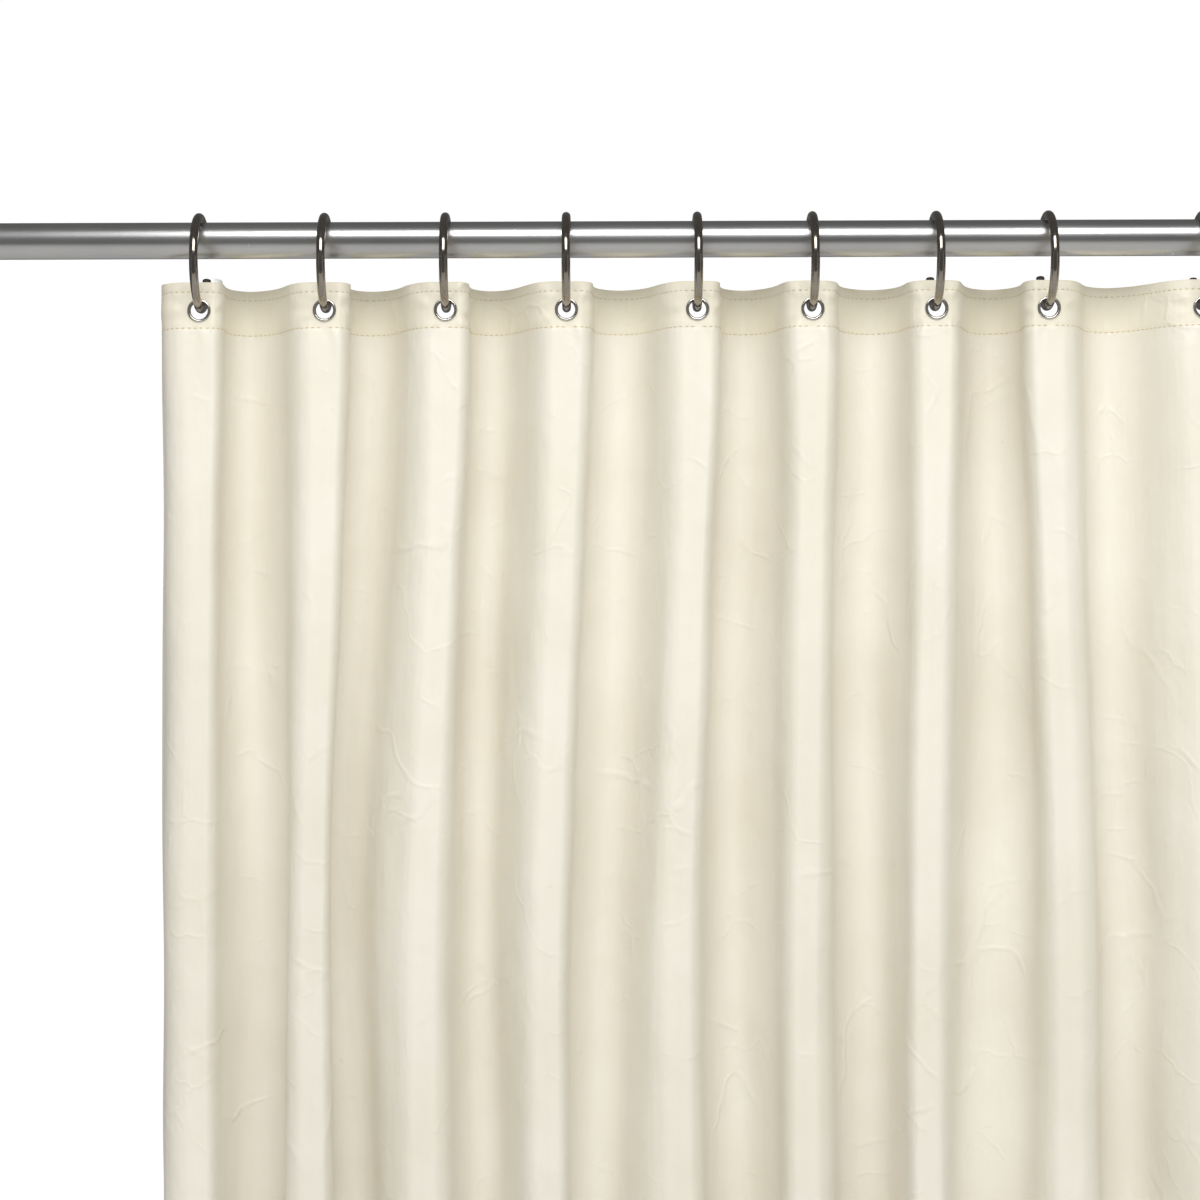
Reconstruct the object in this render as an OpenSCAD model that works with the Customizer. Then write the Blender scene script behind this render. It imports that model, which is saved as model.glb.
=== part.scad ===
// Shower curtain of heavy vinyl on twelve open rings, with its rod between two walls.
// Frame: the origin is on the rod's axis, on the left wall. +X runs along the rod,
// +Y away from the person in front of the curtain, +Z up. Millimetres.

/* [Rod] */
// Outside diameter of the rod
rod_dia = 25.4; // [19:0.01:32]
// Wall of the rod's tube
rod_wall = 1.2; // [0.8:0.1:2.5]
// Distance between the two walls
wall_span = 1524; // [1400:1:2000]

/* [Wall flanges] */
// Diameter of the flange against the wall
flange_dia = 66; // [60:1:90]
// Thickness of the flange's disc
flange_thick = 4; // [3:0.1:8]
// How far the socket stands out from the wall
socket_reach = 26; // [16:1:50]
// Wall of the socket round the rod
socket_wall = 3.2; // [2.5:0.1:6]
// Gap between the rod and the socket, all round
rod_clearance = 0.15; // [0.05:0.05:0.5]
// Number of screw holes in a flange
screw_count = 3; // [3:1:6]
// Diameter of a screw hole
screw_hole_dia = 4.5; // [3:0.1:6]
// Diameter of the countersink's mouth
countersink_dia = 8.4; // [7:0.1:10]
// Metal between the socket's fillet and a countersink's mouth
screw_margin = 0.6; // [0.3:0.1:4]
// Radius of the fillet between the disc and the socket
socket_fillet = 1.6; // [0.5:0.1:3]
// Diameter of the grub screw that grips the rod
grub_dia = 4; // [3:0.5:5]
// Length of the grub screw
grub_len = 5; // [3:0.5:8]

/* [Rings] */
// Thickness of the ring's wire
wire_dia = 6; // [3:0.1:8]
// Inside diameter of a ring
ring_inside = 57.5; // [50:0.5:80]
// Where the ring's lower end stops, in degrees below level, at the back
ring_end_low = 14; // [8:1:40]
// Where the ring's upper end stops, in degrees above level, at the back
ring_end_high = 46; // [30:1:70]
// Gap that is left between a ring and the rod it hangs on
ring_clearance = 0.3; // [0.1:0.1:1]

/* [Curtain] */
// Width of the curtain laid out flat
curtain_width = 1829; // [1500:0.1:2300]
// Height of the curtain
curtain_height = 1829; // [300:0.1:2300]
// Thickness of the sheet as a solid
sheet_thick = 1; // [0.5:0.1:2]
// Distance from the first ring to the left wall
first_ring_x = 189; // [120:1:260]
// Mean distance between rings as the curtain hangs
hung_pitch = 87; // [60:1:110]
// Hung distance from the outer rings to the side edges
edge_reach = 39; // [25:1:60]
// Distance from the sheet at a ring to the plane under the rod's axis, to the front
crest_forward = 6; // [0:0.5:12]
// How much wider the flat of the sheet at an eyelet is than the eyelet
flat_margin = 1.4; // [0.4:0.1:20]
// Height of the top edge over an eyelet's centre
eyelet_drop = 19.5; // [12:0.5:40]
// Gap between two neighbouring pleat solids
seam_gap = 0.4; // [0.3:0.1:2]

/* [Eyelets] */
// Inside diameter of an eyelet
eyelet_bore = 12; // [10:0.1:16]
// Width of an eyelet's flange, from the bore to its outer edge
flange_width = 2.3; // [1.5:0.1:5]
// Wall of the eyelet's barrel
barrel_wall = 0.5; // [0.3:0.1:1]
// Height of the rolled flange over the sheet
flange_roll = 1.5; // [0.6:0.1:3]
// Thickness of the washer on the back
washer_thick = 0.6; // [0.3:0.1:1.5]
// Gap round the barrel, in the sheet and in the washer
barrel_clearance = 0.1; // [0.05:0.05:0.5]
// Gap between the ring's wire and the eyelet that hangs on it
wire_clearance = 0.1; // [0.05:0.05:0.5]

/* [Hem magnets and care label] */
// Diameter of a hem magnet
magnet_dia = 12; // [8:0.5:13]
// Thickness of a hem magnet
magnet_thick = 2; // [1:0.1:4]
// Height of the magnets' centres over the bottom edge
magnet_rise = 14; // [8:0.5:40]
// Height of the care label
label_height = 34; // [20:1:60]
// How far the care label stands over the top edge
label_proud = 3; // [0:0.5:8]
// Thickness of the care label
label_thick = 0.4; // [0.2:0.1:1]

/* [Hidden] */
$fn = 64;
eps = 0.5;                                     // how far a cut runs past a face
disc_round = 2;                                // radius of the flange disc's rim
mouth_round = 1.2;                             // radius of the socket's mouth
grub_shift = 2;                                // grub screw from the socket's middle
grub_clearance = 0.1;                          // on the grub screw's diameter
hex_deep = 2;                                  // depth of the grub screw's hexagon
lip_inset = 0.8;                               // back lip's edge inside the flange's
back_gap = 0.1;                                // sheet to the magnet or label behind it
ring_count = 12;
// How much wider or narrower than the mean each gap between rings hangs
gap_shift = [0, -3, -3, 4, -7, -1, -9, 21, 1, -3, -1];
gaps = concat([2 * edge_reach], [for (g = gap_shift) hung_pitch + g], [2 * edge_reach]);
function sum_to(list, n) = n < 1 ? 0 : list[n] + sum_to(list, n - 1);
function ring_x(i) = first_ring_x + sum_to(gaps, i - 1);

rod_r = rod_dia / 2;
wire_r = wire_dia / 2;
ring_r = ring_inside / 2 + wire_r;             // radius of the wire's centre line
ring_z = -(ring_inside / 2 - rod_r - ring_clearance);
crest_y = -crest_forward;                      // middle of the sheet at an eyelet

// The eyelet hangs on the wire: its bore's top clears the wire's top all the way through.
eyelet_front = crest_y - sheet_thick / 2 - flange_roll;
eyelet_back = crest_y + sheet_thick / 2 + washer_thick + barrel_wall;
function wire_top(y) = ring_z - sqrt(ring_r * ring_r - y * y) + wire_r / cos(asin(y / ring_r));
wire_peak = max(wire_top(eyelet_front), wire_top(eyelet_back));
eyelet_z = wire_peak + wire_clearance - eyelet_bore / 2;
top_z = eyelet_z + eyelet_drop;
bottom_z = top_z - curtain_height;

// One half pleat, from the crest at an eyelet back to the valley between two rings.
// The sheet keeps its length: its heading is steepest in the middle of the flank, and
// the steepest heading is the one that brings the valley under the middle of the gap.
eyelet_pitch = curtain_width / ring_count;
eyelet_dia = eyelet_bore + 2 * flange_width;
crest_flat = eyelet_dia + flat_margin;
bend_steps = 12;
bend_len = (eyelet_pitch - crest_flat) / 2;
bend_step = bend_len / bend_steps;
function heading(steep, i) = steep * sin(180 * i / bend_steps);
function reach(steep, i = bend_steps - 1) =
    i < 0 ? 0 : bend_step * cos(heading(steep, i + 0.5)) + reach(steep, i - 1);
function steepest(want, low = 0, high = 137, tries = 30) = let (mid = (low + high) / 2)
    tries == 0 ? mid
    : reach(mid) > want ? steepest(want, mid, high, tries - 1)
    : steepest(want, low, mid, tries - 1);
function flank(steep) = [
    for (i = 0, x = crest_flat / 2, y = 0; i <= bend_steps;
         x = x + bend_step * cos(heading(steep, i + 0.5)),
         y = y + bend_step * sin(heading(steep, i + 0.5)), i = i + 1) [x, y]];
function gap_flank(gap) = steepest((gap - crest_flat) / 2);
// Points of a half pleat moved sideways by off: behind the sheet where off is positive
function half_pleat(gap, off, trim) = let (steep = gap_flank(gap), line = flank(steep))
    [for (i = [0:bend_steps]) let (h = heading(steep, i), end = i == bend_steps ? trim : 0)
        [line[i][0] - end - off * sin(h), line[i][1] + off * cos(h)]];
function flip(points) = [for (p = points) [-p[0], p[1]]];
function turn(points) = [for (i = [len(points) - 1:-1:0]) points[i]];

socket_r = rod_r + rod_clearance + socket_wall;
screw_circle = 2 * (socket_r + socket_fillet + screw_margin) + countersink_dia;
countersink_deep = (countersink_dia - screw_hole_dia) / 2;
grub_x = (flange_thick + socket_reach) / 2 + grub_shift;
barrel_r = eyelet_bore / 2 + barrel_wall;
hole_r = barrel_r + barrel_clearance;
lip_r = eyelet_dia / 2 - lip_inset;            // radius of the barrel's rolled back lip
label_from = 1;                                // first and last fold line of the label
label_to = 4;

function two(i) = i < 10 ? str("0", i) : str(i);
function names(word) = [for (i = [1:ring_count]) str(word, "_", two(i))];
magnet_names = ["magnet_left", "magnet_middle", "magnet_right"];
magnet_rings = [1, 6, 12];

// ---------------------------------------------------------------- rod and flanges

// Turns what is drawn up +Z to lie along +X
module along_x() rotate([90, 0, 90]) children();

// The right flange is the left one turned round on the other wall
module on_wall(right)
    translate([right ? wall_span : 0, 0, 0]) mirror([right ? 1 : 0, 0, 0]) children();

module rod_tube() color("silver")
    translate([flange_thick, 0, 0]) along_x() difference() {
        cylinder(r = rod_r, h = wall_span - 2 * flange_thick);
        translate([0, 0, -eps]) cylinder(r = rod_r - rod_wall, h = wall_span);
    }

// Half outline of a flange: a dished disc, a round fillet and the socket with an eased mouth
function flange_outline() = concat(
    [[0, 0], [flange_dia / 2, 0]],
    corner(flange_dia / 2, flange_thick, disc_round),
    [for (a = [270:-15:180]) [socket_r + socket_fillet * (1 + cos(a)),
        flange_thick + socket_fillet * (1 + sin(a))]],
    corner(socket_r, socket_reach, mouth_round),
    [[0, socket_reach]]);
// A quarter circle inside an outer corner at x and y
function corner(x, y, r) = [for (a = [0:15:90]) [x - r + r * cos(a), y - r + r * sin(a)]];

module flange(right) color("lightgray") on_wall(right) along_x() difference() {
    rotate_extrude() polygon(flange_outline());
    translate([0, 0, flange_thick]) cylinder(r = rod_r + rod_clearance, h = socket_reach);
    for (k = [0:screw_count - 1])
        rotate(90 + 360 * k / screw_count) translate([screw_circle / 2, 0, 0]) {
            translate([0, 0, -eps]) cylinder(d = screw_hole_dia, h = flange_thick + 2 * eps);
            translate([0, 0, flange_thick - countersink_deep])
                cylinder(d1 = screw_hole_dia, d2 = countersink_dia + 2 * eps,
                    h = countersink_deep + eps);
        }
    translate([0, 0, grub_x]) rotate([90, 0, 0])
        cylinder(d = grub_dia + grub_clearance, h = socket_r + eps);
}

module grub_screw(right) color("dimgray") on_wall(right)
    translate([grub_x, 0, -rod_r]) rotate([180, 0, 0]) difference() {
        cylinder(d = grub_dia, h = grub_len);
        translate([0, 0, grub_len - hex_deep])
            cylinder(d = grub_dia / 2, h = hex_deep + eps, $fn = 6);
    }

// ---------------------------------------------------------------- rings

module ring(i) color("gainsboro")
    translate([ring_x(i), 0, ring_z]) along_x()
        rotate_extrude(start = ring_end_high, angle = 360 - ring_end_high - ring_end_low)
            translate([ring_r, 0]) circle(r = wire_r);

// ---------------------------------------------------------------- eyelets

// Turns what is drawn up +Z to run back through the sheet at an eyelet
module at_eyelet(i) translate([ring_x(i), crest_y, eyelet_z]) rotate([-90, 0, 0]) children();

// Barrel with a round flange on the front and a lip rolled over the washer
module eyelet(i) color("silver") at_eyelet(i) rotate_extrude() {
    translate([eyelet_bore / 2, -sheet_thick / 2 - flange_roll / 2])
        square([barrel_wall, sheet_thick + flange_roll / 2 + washer_thick]);
    intersection() {
        translate([(eyelet_bore + eyelet_dia) / 4, -sheet_thick / 2])
            scale((eyelet_dia - eyelet_bore) / 4) circle(r = 1);
        translate([eyelet_bore / 2, -sheet_thick / 2 - flange_roll])
            square([(eyelet_dia - eyelet_bore) / 2, flange_roll]);
    }
    translate([eyelet_bore / 2, sheet_thick / 2 + washer_thick])
        square([lip_r - eyelet_bore / 2, barrel_wall]);
}

module washer(i) color("lightgray") at_eyelet(i)
    translate([0, 0, sheet_thick / 2]) difference() {
        cylinder(r = eyelet_dia / 2, h = washer_thick);
        translate([0, 0, -eps]) cylinder(r = hole_r, h = washer_thick + 2 * eps);
    }

// ---------------------------------------------------------------- curtain

// The strip of the sheet that one ring carries, from valley to valley, with its eyelet's hole
module pleat(i) color("ivory") difference() {
    translate([ring_x(i), crest_y, bottom_z]) linear_extrude(curtain_height)
        polygon(concat(
            turn(flip(half_pleat(gaps[i - 1], -sheet_thick / 2, seam_gap / 2))),
            half_pleat(gaps[i], -sheet_thick / 2, seam_gap / 2),
            turn(half_pleat(gaps[i], sheet_thick / 2, seam_gap / 2)),
            flip(half_pleat(gaps[i - 1], sheet_thick / 2, seam_gap / 2))));
    at_eyelet(i) translate([0, 0, -2 * sheet_thick]) cylinder(r = hole_r, h = 4 * sheet_thick);
}

module magnet(i) color("dimgray")
    translate([ring_x(i), crest_y + sheet_thick / 2 + back_gap, bottom_z + magnet_rise])
        rotate([-90, 0, 0]) cylinder(d = magnet_dia, h = magnet_thick);

// A tab sewn behind the top hem, just right of the first ring
module care_label() color("whitesmoke")
    translate([ring_x(1), crest_y, top_z + label_proud - label_height])
        linear_extrude(label_height) {
            near = half_pleat(gaps[1], sheet_thick / 2 + back_gap, 0);
            far = half_pleat(gaps[1], sheet_thick / 2 + back_gap + label_thick, 0);
            polygon(concat([for (k = [label_from:label_to]) near[k]],
                [for (k = [label_to:-1:label_from]) far[k]]));
        }

rod_tube();
flange(false);  // flange_left
flange(true);  // flange_right
grub_screw(false);  // grub_screw_left
grub_screw(true);  // grub_screw_right
for (i = [1:ring_count]) {
    ring(i);
    eyelet(i);
    washer(i);
    pleat(i);
}
for (k = [0:2]) magnet(magnet_rings[k]);
care_label();
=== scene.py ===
"""A vinyl shower curtain on open rings: its looks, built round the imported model.

Metres, +Z up, +X along the rod, +Y away from the person in front of the curtain.
"""

import math

import bmesh
import bpy
import numpy as np
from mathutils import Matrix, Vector


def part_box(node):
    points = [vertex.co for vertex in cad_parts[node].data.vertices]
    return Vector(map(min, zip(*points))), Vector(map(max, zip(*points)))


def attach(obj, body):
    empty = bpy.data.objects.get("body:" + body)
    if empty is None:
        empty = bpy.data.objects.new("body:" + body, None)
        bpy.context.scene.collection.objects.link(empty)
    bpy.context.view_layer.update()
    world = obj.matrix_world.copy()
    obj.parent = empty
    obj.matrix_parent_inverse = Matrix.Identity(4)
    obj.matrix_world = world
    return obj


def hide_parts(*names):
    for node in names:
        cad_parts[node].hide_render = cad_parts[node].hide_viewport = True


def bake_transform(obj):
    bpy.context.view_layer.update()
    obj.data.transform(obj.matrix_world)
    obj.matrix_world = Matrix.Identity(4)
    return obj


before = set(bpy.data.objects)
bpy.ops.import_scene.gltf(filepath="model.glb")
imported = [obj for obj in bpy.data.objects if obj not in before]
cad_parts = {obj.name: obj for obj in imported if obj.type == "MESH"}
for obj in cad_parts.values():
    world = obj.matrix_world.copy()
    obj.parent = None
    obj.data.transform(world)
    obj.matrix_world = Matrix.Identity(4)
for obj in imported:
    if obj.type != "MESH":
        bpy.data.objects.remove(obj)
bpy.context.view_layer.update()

MM = 0.001
RING_COUNT = sum(name.startswith("ring_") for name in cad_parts)


def numbered(word, k):
    """The name of the k-th piece of its kind, such as ring_03."""
    return f"{word}_{k:02d}"


def middle(node):
    """The middle of a CAD node's box, as an array."""
    low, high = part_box(node)
    return np.array((low + high) / 2)


def ease(value, start, end):
    """0 before start, 1 after end, and a smooth step between them."""
    t = np.clip((value - start) / (end - start), 0, 1)
    return t * t * (3 - 2 * t)


def hump(value, centre, width):
    """A bell: 1 at the centre, falling away over width."""
    return np.exp(-(((value - centre) / width) ** 2))


# ------------------------------------------------------------------ sizes from the frame

RING_X = np.array([middle(numbered("ring", k))[0] for k in range(1, RING_COUNT + 1)])
SHEET_LOW, SHEET_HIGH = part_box("pleat_01")
SHEET_TOP, SHEET_BOTTOM = SHEET_HIGH.z, SHEET_LOW.z
SHEET_HEIGHT = SHEET_TOP - SHEET_BOTTOM
EYELET_LOW, EYELET_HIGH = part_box("eyelet_01")
EYELET_Z = (EYELET_LOW.z + EYELET_HIGH.z) / 2
EYELET_DROP = SHEET_TOP - EYELET_Z
EYELET_RADIUS = (EYELET_HIGH.z - EYELET_LOW.z) / 2
WASHER_LOW, WASHER_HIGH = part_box("washer_01")
WASHER_THICK = WASHER_HIGH.y - WASHER_LOW.y
HEADER_THICK = 1.0 * MM
SHEET_BACK_AT_EYELET = WASHER_LOW.y
SHEET_FRONT_AT_EYELET = SHEET_BACK_AT_EYELET - HEADER_THICK
ROD_RADIUS = (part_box("rod_tube")[1].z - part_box("rod_tube")[0].z) / 2
WIRE_RADIUS = (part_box("ring_01")[1].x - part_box("ring_01")[0].x) / 2

SHEET_WIDTH = 1.829
PITCH = SHEET_WIDTH / RING_COUNT            # eyelet to eyelet along the flat sheet
EDGE_REACH = RING_X[0] - SHEET_LOW.x - 4 * MM   # outer ring to side edge, as it hangs
SHEET_THICK = 0.45 * MM
HOLE_RADIUS = 6.7 * MM
HEADER_DEEP = 32 * MM
TOP_STITCH, HEADER_STITCH = 6.5 * MM, 31.5 * MM
HEM_DEEP = 25 * MM
SIDE_HEM = 9 * MM
BORE_RADIUS, BARREL_RADIUS, LIP_RADIUS = 6.0 * MM, 6.5 * MM, 7.5 * MM   # of an eyelet
WASHER_HOLE_RADIUS = 6.6 * MM
TUBE_WALL = 1.2 * MM
NEAR_AXIS = 0.01 * MM            # stands in for a radius of zero in a turned outline

# ------------------------------------------------------------------ meshes


def new_piece(name, points, faces):
    """A mesh object from an array of points and a list or array of faces, at the origin."""
    mesh = bpy.data.meshes.new(name)
    mesh.from_pydata(points.tolist(), [], faces.tolist() if hasattr(faces, "tolist") else faces)
    mesh.shade_smooth()
    piece = bpy.data.objects.new(name, mesh)
    bpy.context.scene.collection.objects.link(piece)
    return piece


def grid_faces(rows, columns, wrap_rows=False, wrap_columns=False):
    """The quads of a grid of points numbered row by row."""
    r = np.arange(rows if wrap_rows else rows - 1)[:, None]
    c = np.arange(columns if wrap_columns else columns - 1)[None, :]
    r2, c2 = (r + 1) % rows, (c + 1) % columns
    corners = [r * columns + c, r * columns + c2, r2 * columns + c2, r2 * columns + c]
    return np.stack([np.broadcast_to(k, (r.size, c.size)) for k in corners], -1).reshape(-1, 4)


def turned(name, outline, centre, axis, sides=64):
    """A closed outline of (radius, height) points turned round an axis.

    A point is centre + height * axis + radius * (cos a * side + sin a * other), and the
    outline runs clockwise seen with the radius to the right and the height up.
    """
    outline = np.array(outline, float)
    axis = np.array(axis, float)
    side = np.array([0.0, 0.0, 1.0])
    other = np.cross(axis, side)
    a = np.linspace(0, 2 * math.pi, sides, endpoint=False)
    spoke = np.cos(a)[:, None] * side + np.sin(a)[:, None] * other
    points = (np.array(centre) + outline[None, :, 1, None] * axis
              + outline[None, :, 0, None] * spoke[:, None, :])
    faces = grid_faces(sides, len(outline), wrap_rows=True, wrap_columns=True)
    return new_piece(name, points.reshape(-1, 3), faces)


def rounded(corners, radius, steps=4):
    """A closed outline with each corner rounded: its two tangent points and a curve between."""
    corners = np.array(corners, float)
    out = []
    for before, corner, after in zip(np.roll(corners, 1, 0), corners, np.roll(corners, -1, 0)):
        a, b = before - corner, after - corner
        cut = min(radius, 0.45 * np.linalg.norm(a), 0.45 * np.linalg.norm(b))
        p, q = corner + a / np.linalg.norm(a) * cut, corner + b / np.linalg.norm(b) * cut
        for t in np.linspace(0, 1, steps):
            out.append((1 - t) ** 2 * p + 2 * t * (1 - t) * corner + t * t * q)
    return np.array(out)


def shell(name, front, back, normals, cloth, keep=None):
    """A thin closed sheet: a front and a back grid of points with walls along every open edge.

    keep marks the grid's cells that exist, so a hole is a patch of cells left out. The
    normals are the whole sheet's, so pieces that meet along a line shade as one. Each point
    stores cloth, its place on the flat sheet in metres.
    """
    rows, columns = front.shape[:2]
    count = rows * columns
    faces = grid_faces(rows, columns)[:, ::-1]
    if keep is not None:
        faces = faces[keep.reshape(-1)]
    edges = np.stack([faces, np.roll(faces, -1, 1)], -1).reshape(-1, 2)
    key = np.sort(edges, 1) @ np.array([count, 1])
    _, where, uses = np.unique(key, return_index=True, return_counts=True)
    rim = edges[where[uses == 1]]
    walls = np.stack([rim[:, 1], rim[:, 0], rim[:, 0] + count, rim[:, 1] + count], -1)
    all_faces = np.concatenate([faces, faces[:, ::-1] + count, walls])
    points = np.concatenate([front.reshape(-1, 3), back.reshape(-1, 3)])
    turned_to = np.concatenate([normals.reshape(-1, 3), -normals.reshape(-1, 3)])
    place = np.tile(cloth.reshape(-1, 3), (2, 1))
    used, renumbered = np.unique(all_faces, return_inverse=True)
    all_faces = renumbered.reshape(all_faces.shape)
    piece = new_piece(name, points[used], all_faces)
    mesh = piece.data
    smooth_faces = np.ones(len(all_faces), bool)
    smooth_faces[len(all_faces) - len(walls):] = False
    mesh.polygons.foreach_set("use_smooth", smooth_faces)
    per_corner = turned_to[used][all_faces]
    per_corner[~smooth_faces] = 0
    mesh.normals_split_custom_set(per_corner.reshape(-1, 3).tolist())
    stored = mesh.attributes.new("cloth", "FLOAT_VECTOR", "POINT")
    stored.data.foreach_set("vector", place[used].astype(np.float32).ravel())
    return piece


# ------------------------------------------------------------------ materials


class Signal:
    """A socket that arithmetic works on: each operation adds a Math node."""

    def __init__(self, finish, socket):
        self.finish, self.socket = finish, socket

    def math(self, operation, *values):
        return self.finish.node("ShaderNodeMath", {"operation": operation}, dict(enumerate(values)))

    def __add__(self, other):
        return self.math("ADD", self, other)

    def __radd__(self, other):
        return self.math("ADD", other, self)

    def __sub__(self, other):
        return self.math("SUBTRACT", self, other)

    def __rsub__(self, other):
        return self.math("SUBTRACT", other, self)

    def __mul__(self, other):
        return self.math("MULTIPLY", self, other)

    def __rmul__(self, other):
        return self.math("MULTIPLY", other, self)

    def ease(self, start, end):
        """0 before start, 1 after end, a smooth step between."""
        return self.finish.node(
            "ShaderNodeMapRange", {"interpolation_type": "SMOOTHSTEP"},
            {"Value": self, "From Min": start, "From Max": end})


class Finish:
    """A material being made. Constants go on the shader's own sockets, and what varies is fed in."""

    def __init__(self, name, **constants):
        self.material = bpy.data.materials.new(name)
        self.material.use_nodes = True
        self.tree = self.material.node_tree
        self.shader = self.tree.nodes["Principled BSDF"]
        for socket, value in constants.items():
            self.shader.inputs[socket.replace("_", " ")].default_value = value

    def feed(self, socket, value):
        if isinstance(value, Signal):
            self.tree.links.new(value.socket, socket)
        else:
            socket.default_value = value

    def node(self, kind, settings=None, values=None, out=0):
        """Adds a node: its settings first, then the values or links of its sockets."""
        made = self.tree.nodes.new(kind)
        for key, value in (settings or {}).items():
            if key == "stops":
                ramp = made.color_ramp.elements
                for stop, (place, colour) in enumerate(value):
                    element = ramp[stop] if stop < 2 else ramp.new(place)
                    element.position, element.color = place, colour
            else:
                setattr(made, key, value)
        for key, value in (values or {}).items():
            self.feed(made.inputs[key], value)
        return Signal(self, made.outputs[out])

    def noise(self, where, scale, detail=3, roughness=0.55, stretch=None):
        """Cloudy values from 0 to 1. stretch scales the pattern along each direction."""
        if stretch:
            where = self.node("ShaderNodeMapping", None, {"Vector": where, "Scale": stretch})
        return self.node("ShaderNodeTexNoise", None, {
            "Vector": where, "Scale": scale, "Detail": detail, "Roughness": roughness})

    def mix(self, share, first, second):
        """Between two colours."""
        made = self.tree.nodes.new("ShaderNodeMix")
        made.data_type = "RGBA"
        for key, value in {0: share, 6: first, 7: second}.items():
            self.feed(made.inputs[key], value)
        return Signal(self, made.outputs[2])

    def bump(self, height, distance, strength=1.0, below=None):
        """A Normal from a height of 0 to 1 that stands for distance in metres."""
        values = {"Height": height, "Distance": distance, "Strength": strength}
        if below:
            values["Normal"] = below
        return self.node("ShaderNodeBump", None, values)

    def set(self, **varying):
        for socket, value in varying.items():
            self.feed(self.shader.inputs[socket.replace("_", " ")], value)
        return self.material


def object_place(finish):
    return finish.node("ShaderNodeTexCoord", out=3)


def crinkles(finish, where, scale, width, share, seed):
    """Short thin creases: parts of the lines between random cells, where a cloud lets them show."""
    moved = finish.node("ShaderNodeMapping", None, {"Vector": where, "Location": (seed, 2 * seed, 0)})
    warp = finish.node("ShaderNodeTexNoise", None,
                       {"Vector": moved, "Scale": scale * 1.7, "Detail": 2.0}, out=1)
    bent = finish.node("ShaderNodeVectorMath", {"operation": "MULTIPLY_ADD"},
                       {0: warp, 1: (0.6 / scale,) * 3, 2: moved})
    cells = finish.node("ShaderNodeTexVoronoi",
                        {"feature": "DISTANCE_TO_EDGE", "voronoi_dimensions": "2D"},
                        {"Vector": bent, "Scale": scale})
    shown = finish.noise(moved, scale * 0.8, 1.0).ease(1 - share, 1.08 - share)
    return (1 - cells.ease(0.0, width)) * shown


def vinyl_finish():
    """Heavy bone-coloured vinyl: fine grain, soft clouding, creases, and a yellower double header."""
    finish = Finish("bone_vinyl", Subsurface_Weight=0.08, Subsurface_Scale=0.01, Sheen_Weight=0.05,
                    Sheen_Roughness=0.4, IOR=1.45)
    finish.shader.inputs["Subsurface Radius"].default_value = (1.0, 0.8, 0.5)
    cloth = finish.node("ShaderNodeAttribute", {"attribute_name": "cloth"}, out=1)
    down = finish.node("ShaderNodeSeparateXYZ", None, {"Vector": cloth}, out=1)
    cloud = finish.noise(cloth, 9.0, 4.0)
    body = finish.mix(cloud.ease(0.3, 0.7), (0.725, 0.685, 0.580, 1), (0.760, 0.726, 0.630, 1))
    header = 1 - down.ease(HEADER_DEEP, HEADER_DEEP + 0.5 * MM)
    doubled = finish.mix(header * 0.4, body, (0.755, 0.70, 0.535, 1))
    hem_edge = down.ease(HEADER_DEEP - 1.2 * MM, HEADER_DEEP) * header
    top_edge = 1 - down.ease(0, 1.1 * MM)
    edged = finish.mix((hem_edge * 0.3 + top_edge) * 0.35, doubled, (0.66, 0.57, 0.38, 1))
    speck = finish.noise(cloth, 70.0, 2.0).ease(0.74, 0.80)
    colour = finish.mix(speck * 0.22, edged, (0.62, 0.52, 0.35, 1))
    grain = finish.noise(cloth, 1400.0, 2.0)
    slub = finish.noise(cloth, 260.0, 3.0, stretch=(1.0, 0.12, 1.0))
    long_creases = crinkles(finish, cloth, 11.0, 0.045, 0.48, 3.1)
    short_creases = crinkles(finish, cloth, 24.0, 0.07, 0.49, 8.7)
    soft = finish.noise(cloth, 34.0, 3.0, stretch=(1.0, 0.55, 1.0))
    streaks = finish.noise(cloth, 95.0, 2.0, stretch=(1.0, 0.035, 1.0))
    low = finish.bump(soft + 0.25 * streaks, 1.8 * MM, 0.85)
    creased = finish.bump(long_creases + short_creases * 0.6, 0.40 * MM, 0.7, low)
    fine = finish.bump(slub, 0.12 * MM, 0.5, creased)
    finest = finish.bump(grain, 0.02 * MM, 0.5, fine)
    shine = 0.43 + 0.10 * cloud + 0.08 * long_creases
    return finish.set(Base_Color=colour, Roughness=shine, Normal=finest)


def nickel_finish(name, tone, roughness, coat, drawn):
    """Polished plate with faint drawing lines, dull clouds and a few bright specks."""
    finish = Finish(name, Metallic=1.0, Coat_Roughness=0.06, IOR=1.8)
    place = object_place(finish)
    cloud = finish.noise(place, 160.0, 3.0)
    dull = finish.mix(cloud.ease(0.35, 0.7), (*(c * 0.86 for c in tone), 1), (*tone, 1))
    speck = finish.noise(place, 1500.0, 2.0).ease(0.68, 0.74)
    lines = finish.noise(place, 900.0, 2.0, stretch=(1.0, 0.08, 0.08))
    return finish.set(Base_Color=finish.mix(speck * 0.35, dull, (0.9, 0.87, 0.82, 1)),
                      Roughness=roughness + 0.10 * cloud + 0.12 * speck,
                      Coat_Weight=coat * cloud,
                      Normal=finish.bump(lines, 0.02 * MM, drawn))


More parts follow.
